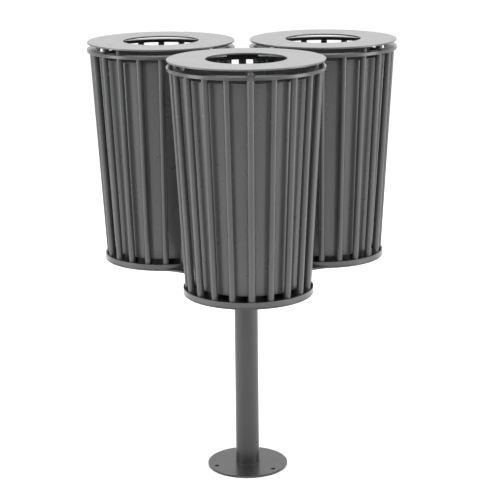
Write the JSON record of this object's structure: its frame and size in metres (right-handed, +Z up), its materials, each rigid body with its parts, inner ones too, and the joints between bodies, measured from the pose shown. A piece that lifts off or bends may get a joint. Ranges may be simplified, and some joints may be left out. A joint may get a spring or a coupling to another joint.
{
  "type": "litter bin",
  "caption": "Post-mounted litter bin with round tapered baskets of vertical bars on a lobed tray, each with a lift-out liner under a hinged ring lid.",
  "frame": {"origin": "centre of the base plate's underside, on the post's axis", "axes": "+Z up along the post, the front basket towards -Y, the other two at 120 degrees to it on +Y, left towards -X and right towards +X"},
  "size_m": [0.7808, 0.7276, 1.095],
  "materials": {
    "stand_paint": "anthracite powder coat, fine texture, satin",
    "cage_paint": "anthracite powder coat, fine texture, satin",
    "lid_paint": "anthracite powder coat, fine texture, satin",
    "liner_paint": "anthracite powder coat on sheet steel, satin",
    "zinc_steel": "bright zinc plate, light wear",
    "rubber": "black moulded rubber, matt"
  },
  "bodies": {
    "stand": {"base_plate": "stand_paint", "post": "stand_paint", "head_plate": "stand_paint", "tray_arms": "stand_paint", "tray": "stand_paint", "tray_bolts": "zinc_steel", "tray_washers": "zinc_steel", "tray_nuts": "zinc_steel", "rest_studs": "cage_paint", "side_studs": "cage_paint", "lid_buffers": "rubber", "hinge_clips": "zinc_steel", "hinge_guards": "cage_paint", "liner_seats": "rubber", "bottom_band_front": "cage_paint", "cage_bars_front": "cage_paint", "rest_bar_front": "cage_paint", "top_hoop_front": "cage_paint", "hinge_knuckles_front": "cage_paint", "hinge_pin_front": "zinc_steel", "bottom_band_left": "cage_paint", "cage_bars_left": "cage_paint", "rest_bar_left": "cage_paint", "top_hoop_left": "cage_paint", "hinge_knuckles_left": "cage_paint", "hinge_pin_left": "zinc_steel", "bottom_band_right": "cage_paint", "cage_bars_right": "cage_paint", "rest_bar_right": "cage_paint", "top_hoop_right": "cage_paint", "hinge_knuckles_right": "cage_paint", "hinge_pin_right": "zinc_steel"},
    "front_lid": {"lid_front": "lid_paint", "lid_leaf_front": "lid_paint", "latch_boss_front": "lid_paint"},
    "front_latch": {"latch_handle_front": "lid_paint", "latch_cam_front": "lid_paint"},
    "front_liner": {"liner_front": "liner_paint"},
    "left_lid": {"lid_left": "lid_paint", "lid_leaf_left": "lid_paint", "latch_boss_left": "lid_paint"},
    "left_latch": {"latch_handle_left": "lid_paint", "latch_cam_left": "lid_paint"},
    "left_liner": {"liner_left": "liner_paint"},
    "right_lid": {"lid_right": "lid_paint", "lid_leaf_right": "lid_paint", "latch_boss_right": "lid_paint"},
    "right_latch": {"latch_handle_right": "lid_paint", "latch_cam_right": "lid_paint"},
    "right_liner": {"liner_right": "liner_paint"}
  },
  "joints": [
    {"name": "lid_hinge_front", "type": "hinge", "parent": "stand", "child": "front_lid", "pos_m": [-0.00437, -0.05705, 1.0845], "axis": [-0.9997, -0.0244, 0], "range_deg": [0, 55]},
    {"name": "latch_turn_front", "type": "hinge", "parent": "front_lid", "child": "front_latch", "pos_m": [0.00342, -0.37596, 1.08], "axis": [0, 0, 1], "range_deg": [0, 90]},
    {"name": "liner_lift_front", "type": "slide", "parent": "stand", "child": "front_liner", "axis": [0, 0, 1], "range_m": [0, 0.025]},
    {"name": "lid_hinge_left", "type": "hinge", "parent": "stand", "child": "left_lid", "pos_m": [-0.05758, 0.01559, 1.0845], "axis": [0.5721, 0.8202, 0], "range_deg": [0, 55]},
    {"name": "latch_turn_left", "type": "hinge", "parent": "left_lid", "child": "left_latch", "pos_m": [-0.3192, 0.1981, 1.08], "axis": [0, 0, 1], "range_deg": [0, 90]},
    {"name": "liner_lift_left", "type": "slide", "parent": "stand", "child": "left_liner", "axis": [0, 0, 1], "range_m": [0, 0.025]},
    {"name": "lid_hinge_right", "type": "hinge", "parent": "stand", "child": "right_lid", "pos_m": [0.05063, 0.02634, 1.0845], "axis": [0.512, -0.859, 0], "range_deg": [0, 55]},
    {"name": "latch_turn_right", "type": "hinge", "parent": "right_lid", "child": "right_latch", "pos_m": [0.32464, 0.18969, 1.08], "axis": [0, 0, 1], "range_deg": [0, 90]},
    {"name": "liner_lift_right", "type": "slide", "parent": "stand", "child": "right_liner", "axis": [0, 0, 1], "range_m": [0, 0.025]}
  ]
}
